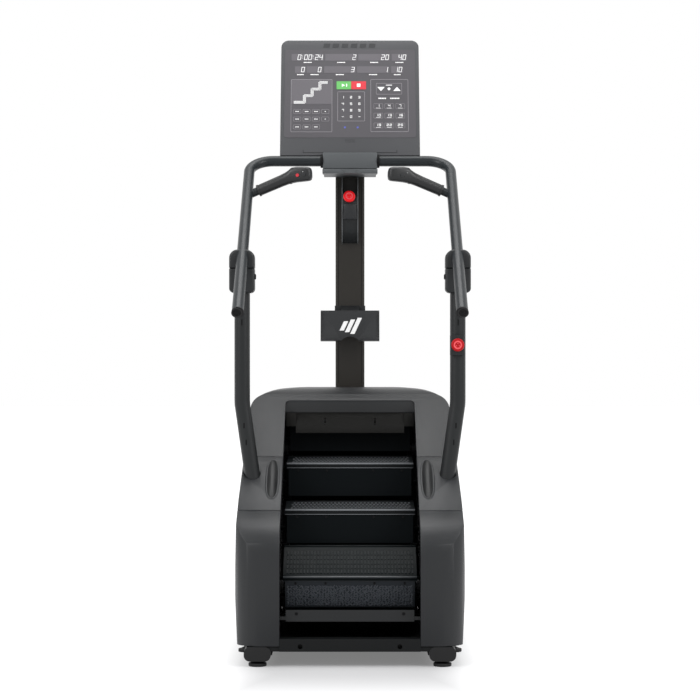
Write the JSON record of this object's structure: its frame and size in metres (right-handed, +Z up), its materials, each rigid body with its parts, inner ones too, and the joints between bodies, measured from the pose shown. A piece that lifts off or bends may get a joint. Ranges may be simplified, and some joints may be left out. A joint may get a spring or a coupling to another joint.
{
  "type": "stair climber",
  "caption": "Gym stair climber: a chain loop of wedge-shaped steps between tall moulded covers, with sloping handrails on posts, a mast and a leaned-back console.",
  "frame": {"origin": "on the floor under the middle of the footprint", "axes": "+Z up, +Y from the end where the user steps on towards the console, +X to the user's right"},
  "size_m": [0.866, 1.218, 2.324],
  "materials": {
    "cover_plastic": "fine matte texture",
    "frame_paint": "satin powder coat",
    "column_paint": "satin metallic brown-black",
    "rail_paint": "satin powder coat",
    "tread_coat": "coated cast aluminium",
    "riser_plastic": "moulded pattern",
    "rubber": "matt",
    "steel": "ground",
    "chain_steel": "oiled",
    "cast": "painted casting",
    "console_shell": "fine matte texture",
    "console_overlay": "satin overlay",
    "grip_rubber": "soft touch",
    "stop_red": "gloss red",
    "key_red": "gloss",
    "key_white": "gloss",
    "tray_paint": "satin powder coat"
  },
  "bodies": {
    "machine": {"right_lower_cover": "cover_plastic", "left_lower_cover": "cover_plastic", "right_shoulder_cover": "cover_plastic", "left_shoulder_cover": "cover_plastic", "top_cover": "cover_plastic", "front_cover": "cover_plastic", "top_guard": "cover_plastic", "kick_plate": "frame_paint", "belly_pan": "frame_paint", "base_rails": "frame_paint", "rail_caps": "rubber", "rear_crossbeam": "frame_paint", "front_crossbeams": "frame_paint", "frame_plates": "frame_paint", "shaft_bearings": "cast", "step_chains": "chain_steel", "drive_belt": "rubber", "brake_unit": "cast", "right_handrail": "rail_paint", "left_handrail": "rail_paint", "handrail_plugs": "rubber", "right_post": "rail_paint", "left_post": "rail_paint", "joint_covers": "cover_plastic", "right_grip": "grip_rubber", "left_grip": "grip_rubber", "column": "column_paint", "mast_head": "console_shell", "console_housing": "console_shell", "console_face": "console_overlay", "column_stop_pod": "cover_plastic", "post_stop_box": "cover_plastic", "tray": "tray_paint", "tray_clamp": "frame_paint", "rail_feet": "rubber", "outrigger_feet": "rubber"},
    "upper_flight": {"second_tread": "tread_coat", "third_tread": "tread_coat", "fourth_tread": "tread_coat", "climbing_risers": "riser_plastic"},
    "lower_turn": {"lowest_tread": "tread_coat", "lowest_riser": "riser_plastic", "lower_shaft": "steel", "lower_sprockets": "steel"},
    "return_flight": {"return_treads": "tread_coat", "return_risers": "riser_plastic"},
    "upper_turn": {"upper_turn_tread": "tread_coat", "upper_turn_riser": "riser_plastic", "drive_shaft": "steel", "drive_sprockets": "steel", "drive_pulley": "cast"},
    "brake_rotor": {"brake_pulley": "cast"},
    "wheels": {"transport_wheels": "rubber"},
    "column_plunger": {"column_stop_stem": "stop_red"},
    "column_button": {"column_stop_cap": "stop_red"},
    "post_plunger": {"post_stop_stem": "stop_red"},
    "post_button": {"post_stop_cap": "stop_red"},
    "right_key": {"right_grip_key": "key_white"},
    "left_outer_key": {"left_grip_outer_key": "key_red"},
    "left_inner_key": {"left_grip_inner_key": "key_white"}
  },
  "joints": [
    {"name": "stair_travel", "type": "slide", "parent": "machine", "child": "upper_flight", "axis": [0, -0.7804, -0.6252], "range_m": [-0.037, 0.2106]},
    {"name": "lower_turn_spin", "type": "hinge", "parent": "machine", "child": "lower_turn", "pos_m": [0, -0.2845, 0.2532], "axis": [1, 0, 0], "range_deg": [-27, 153.2]},
    {"name": "return_travel", "type": "slide", "parent": "machine", "child": "return_flight", "axis": [0, 0.7804, 0.6252], "range_m": [-0.0372, 0.2108]},
    {"name": "upper_turn_spin", "type": "hinge", "parent": "machine", "child": "upper_turn", "pos_m": [0, 0.29532, 0.71772], "axis": [1, 0, 0], "range_deg": [-27, 153.2]},
    {"name": "brake_spin", "type": "hinge", "parent": "machine", "child": "brake_rotor", "pos_m": [0, 0.359, 0.23], "axis": [1, 0, 0], "range_deg": [-108, 612.8]},
    {"name": "wheel_spin", "type": "hinge", "parent": "machine", "child": "wheels", "pos_m": [0, 0.564, 0.034], "axis": [1, 0, 0], "continuous": true},
    {"name": "column_stop_push", "type": "slide", "parent": "machine", "child": "column_plunger", "axis": [0, 0.9511, -0.309], "range_m": [0, 0.005]},
    {"name": "column_stop_twist", "type": "hinge", "parent": "column_plunger", "child": "column_button", "pos_m": [-0.003, 0.436, 1.694], "axis": [0, 0.9511, -0.309], "range_deg": [0, 40], "stiffness_Nm_per_rad": 0.05},
    {"name": "post_stop_push", "type": "slide", "parent": "machine", "child": "post_plunger", "axis": [0, 1, 0], "range_m": [0, 0.005]},
    {"name": "post_stop_twist", "type": "hinge", "parent": "post_plunger", "child": "post_button", "pos_m": [0.385, -0.281, 1.111], "axis": [0, 1, 0], "range_deg": [0, 40], "stiffness_Nm_per_rad": 0.05},
    {"name": "right_key_push", "type": "slide", "parent": "machine", "child": "right_key", "axis": [0, 1, 0], "range_m": [0, 0.0012], "stiffness_N_per_m": 600},
    {"name": "left_outer_key_push", "type": "slide", "parent": "machine", "child": "left_outer_key", "axis": [0, 1, 0], "range_m": [0, 0.0012], "stiffness_N_per_m": 600},
    {"name": "left_inner_key_push", "type": "slide", "parent": "machine", "child": "left_inner_key", "axis": [0, 1, 0], "range_m": [0, 0.0012], "stiffness_N_per_m": 600}
  ],
  "couplings": [
    {"joint": "lower_turn_spin", "follows": "stair_travel", "rad_per_m": 12.686},
    {"joint": "return_travel", "follows": "stair_travel", "ratio": 1},
    {"joint": "upper_turn_spin", "follows": "stair_travel", "rad_per_m": 12.686},
    {"joint": "brake_spin", "follows": "stair_travel", "rad_per_m": 50.742}
  ]
}
